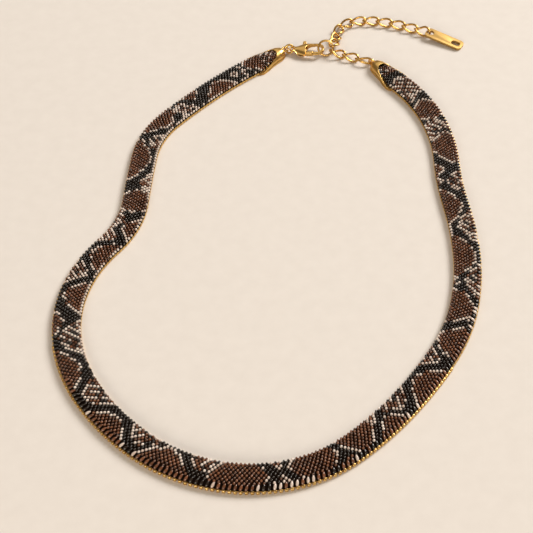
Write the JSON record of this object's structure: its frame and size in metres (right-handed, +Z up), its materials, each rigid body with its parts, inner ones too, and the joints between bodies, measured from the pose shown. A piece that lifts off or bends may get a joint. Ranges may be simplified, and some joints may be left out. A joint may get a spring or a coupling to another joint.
{
  "type": "snakeskin band necklace",
  "caption": "Flat beaded snakeskin band on a ribbed gold back, with slip-on end caps, a lobster clasp, an extender chain and a bar tag.",
  "frame": {"origin": "on the surface the necklace lies on, under the middle of its laid-out outline", "axes": "+Z up from the surface; +Y from the front of the band towards the clasp; +X to the right as laid out, the side on which the free chain hangs out"},
  "size_m": [0.1306, 0.1958, 0.0046],
  "materials": {
    "gold": "polished warm gold plating",
    "gold_ribs": "polished gold-plated ribs",
    "beads": "glossy opaque beads in dark brown, black and cream"
  },
  "bodies": {
    "necklace": {"band_back": "gold_ribs", "band_face": "beads", "end_cap_left": "gold", "end_cap_right": "gold", "jump_ring": "gold", "clasp_body": "gold", "closing_ring": "gold", "link_01": "gold", "link_02": "gold", "link_03": "gold", "link_04": "gold", "link_05": "gold", "link_06": "gold", "link_07": "gold", "link_08": "gold", "link_09": "gold", "link_10": "gold", "link_11": "gold", "link_12": "gold", "link_13": "gold", "bar_tag": "gold"},
    "clasp_lever": {"clasp_lever": "gold"}
  },
  "joints": [
    {"name": "lever_pivot", "type": "hinge", "parent": "necklace", "child": "clasp_lever", "pos_m": [0.00838, 0.07836, 0.00132], "axis": [-0.1044, 0.0055, 0.9945], "range_deg": [0, 20], "stiffness_Nm_per_rad": 0.002, "springref_deg": -5.73}
  ]
}
